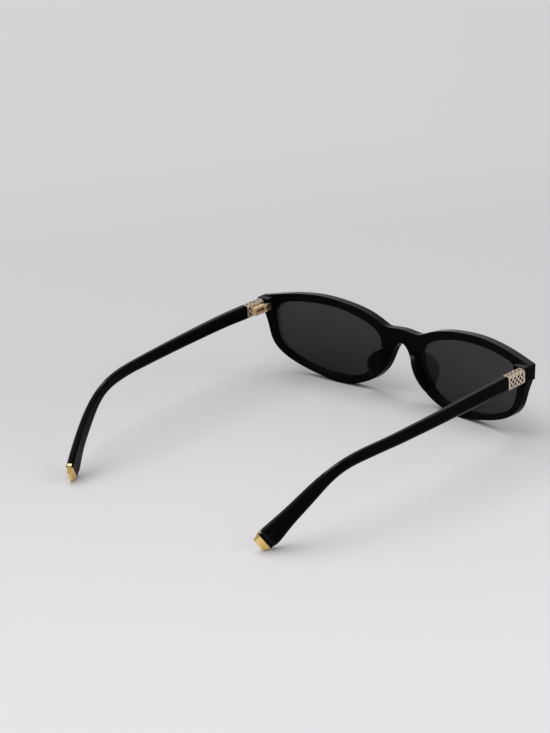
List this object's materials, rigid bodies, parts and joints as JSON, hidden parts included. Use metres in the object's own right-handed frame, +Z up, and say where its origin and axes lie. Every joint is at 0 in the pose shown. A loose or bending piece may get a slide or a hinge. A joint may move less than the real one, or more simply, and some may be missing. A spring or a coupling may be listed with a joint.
{
  "type": "sunglasses",
  "caption": "Narrow rounded-rectangle sunglasses with a glossy black frame, dark grey lenses, folding temples, pierced gold sleeves at the hinges and faceted gold temple tips.",
  "frame": {"origin": "middle of the footprint of the open glasses, on the surface they rest on", "axes": "+Z up, -Y out through the lenses, +Y along the temples, +X to the wearer's left"},
  "size_m": [0.14, 0.1446, 0.0356],
  "materials": {
    "acetate": "gloss",
    "lens": "gloss",
    "hinge_metal": "satin",
    "rivet": "satin",
    "core_steel": "satin",
    "trim_metal": "polished"
  },
  "bodies": {
    "front": {"front_frame": "acetate", "lens_left": "lens", "nose_pad_left": "acetate", "hinge_front_leaf_left": "hinge_metal", "front_rivets_left": "rivet", "lens_right": "lens", "nose_pad_right": "acetate", "hinge_front_leaf_right": "hinge_metal", "front_rivets_right": "rivet"},
    "left_arm": {"temple_left": "acetate", "core_wire_left": "core_steel", "temple_band_left": "trim_metal", "hinge_temple_leaf_left": "hinge_metal", "hinge_screw_left": "rivet", "tip_cap_left": "trim_metal"},
    "right_arm": {"temple_right": "acetate", "core_wire_right": "core_steel", "temple_band_right": "trim_metal", "hinge_temple_leaf_right": "hinge_metal", "hinge_screw_right": "rivet", "tip_cap_right": "trim_metal"}
  },
  "joints": [
    {"name": "left_temple_fold", "type": "hinge", "parent": "front", "child": "left_arm", "pos_m": [0.0657, -0.0583, 0.0283], "axis": [0, 0, 1], "range_deg": [0, 82]},
    {"name": "right_temple_fold", "type": "hinge", "parent": "front", "child": "right_arm", "pos_m": [-0.0657, -0.0583, 0.0283], "axis": [0, 0, -1], "range_deg": [0, 69]}
  ]
}
